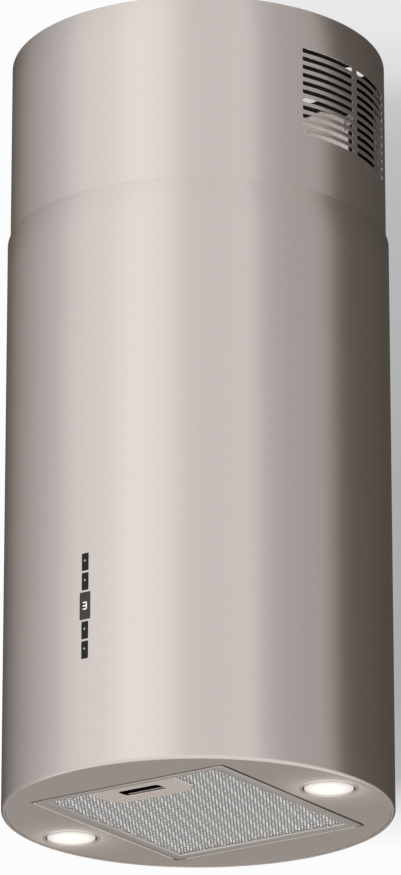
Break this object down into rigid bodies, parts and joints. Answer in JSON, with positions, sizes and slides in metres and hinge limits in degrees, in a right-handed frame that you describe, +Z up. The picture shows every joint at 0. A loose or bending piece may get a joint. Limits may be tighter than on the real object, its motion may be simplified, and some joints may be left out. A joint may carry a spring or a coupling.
{
  "type": "island range hood",
  "caption": "Round telescopic island cooker hood: steel cylinder on a vented sleeve, with filter, spot lamps, touch strip, fan and backdraught flaps.",
  "frame": {"origin": "centre of the ceiling plate's top face, on the cylinder's axis", "axes": "+Z up along the cylinder's axis, -Y towards the control strip, +X towards one vent block"},
  "size_m": [0.35, 0.3502, 0.717],
  "materials": {
    "brushed_steel": "fine horizontal brushing",
    "satin_steel": "satin",
    "galvanised_steel": "galvanised sheet",
    "expanded_aluminium": "expanded mesh, bright",
    "lamp_chrome": "polished",
    "lamp_glass": "frosted, lit",
    "black_plastic": "satin",
    "grey_plastic": "moulded",
    "smoked_window": "glossy",
    "circuit_board": "lacquered",
    "rubber": "moulded",
    "motor_steel": "zinc plated"
  },
  "bodies": {
    "ceiling_frame": {"ceiling_plate": "galvanised_steel", "upper_sleeve": "brushed_steel", "sleeve_bracket_front": "brushed_steel", "sleeve_bracket_rear": "brushed_steel", "upper_post_front_left": "galvanised_steel", "upper_post_front_right": "galvanised_steel", "upper_post_rear_left": "galvanised_steel", "upper_post_rear_right": "galvanised_steel"},
    "hood": {"body_shell": "brushed_steel", "bottom_plate": "satin_steel", "cable_gland": "black_plastic", "chassis_base": "galvanised_steel", "control_board": "circuit_board", "control_housing": "black_plastic", "cross_plate": "galvanised_steel", "damper_axle": "motor_steel", "display_window": "smoked_window", "filter_pin_left": "motor_steel", "filter_pin_right": "motor_steel", "frame_top_ring": "galvanised_steel", "junction_box": "grey_plastic", "junction_box_lid": "grey_plastic", "lamp_housing_left": "grey_plastic", "lamp_housing_right": "grey_plastic", "lamp_lens_left": "lamp_glass", "lamp_lens_right": "lamp_glass", "lamp_ring_left": "lamp_chrome", "lamp_ring_right": "lamp_chrome", "led_driver": "grey_plastic", "lower_post_front_left": "galvanised_steel", "lower_post_front_right": "galvanised_steel", "lower_post_rear_left": "galvanised_steel", "lower_post_rear_right": "galvanised_steel", "motor": "motor_steel", "motor_bracket": "galvanised_steel", "motor_capacitor": "grey_plastic", "motor_mount_1": "rubber", "motor_mount_2": "rubber", "motor_mount_3": "rubber", "outlet_collar": "grey_plastic", "scroll_cover": "grey_plastic", "scroll_housing": "grey_plastic", "shell_bracket_front_left": "galvanised_steel", "shell_bracket_front_right": "galvanised_steel", "shell_bracket_rear_left": "galvanised_steel", "shell_bracket_rear_right": "galvanised_steel"},
    "fan_wheel": {"impeller": "black_plastic", "impeller_disc": "black_plastic", "motor_shaft": "motor_steel"},
    "front_flap": {"damper_flap_front": "black_plastic"},
    "rear_flap": {"damper_flap_rear": "black_plastic"},
    "light_button": {"button_light": "black_plastic"},
    "plus_button": {"button_plus": "black_plastic"},
    "minus_button": {"button_minus": "black_plastic"},
    "power_button": {"button_power": "black_plastic"},
    "filter": {"filter_frame": "satin_steel", "filter_mesh": "expanded_aluminium", "filter_handle": "satin_steel", "latch_spring": "motor_steel"},
    "latch": {"filter_latch": "satin_steel"}
  },
  "joints": [
    {"name": "height_adjust", "type": "slide", "parent": "ceiling_frame", "child": "hood", "axis": [0, 0, -1], "range_m": [0, 0.28]},
    {"name": "fan_spin", "type": "hinge", "parent": "hood", "child": "fan_wheel", "pos_m": [0, -0.035, -0.417], "axis": [1, 0, 0], "continuous": true},
    {"name": "front_flap_hinge", "type": "hinge", "parent": "hood", "child": "front_flap", "pos_m": [0, 0, -0.275], "axis": [-1, 0, 0], "range_deg": [0, 75]},
    {"name": "rear_flap_hinge", "type": "hinge", "parent": "hood", "child": "rear_flap", "pos_m": [0, 0, -0.275], "axis": [1, 0, 0], "range_deg": [0, 75]},
    {"name": "light_button_press", "type": "slide", "parent": "hood", "child": "light_button", "axis": [0, 1, 0], "range_m": [0, 0.0015], "stiffness_N_per_m": 900},
    {"name": "plus_button_press", "type": "slide", "parent": "hood", "child": "plus_button", "axis": [0, 1, 0], "range_m": [0, 0.0015], "stiffness_N_per_m": 900},
    {"name": "minus_button_press", "type": "slide", "parent": "hood", "child": "minus_button", "axis": [0, 1, 0], "range_m": [0, 0.0015], "stiffness_N_per_m": 900},
    {"name": "power_button_press", "type": "slide", "parent": "hood", "child": "power_button", "axis": [0, 1, 0], "range_m": [0, 0.0015], "stiffness_N_per_m": 900},
    {"name": "filter_hinge", "type": "hinge", "parent": "hood", "child": "filter", "pos_m": [0, 0.108, -0.7124], "axis": [1, 0, 0], "range_deg": [0, 85]},
    {"name": "latch_slide", "type": "slide", "parent": "filter", "child": "latch", "axis": [0, 1, 0], "range_m": [0, 0.0034], "stiffness_N_per_m": 400, "deforming": ["latch_spring"]}
  ]
}
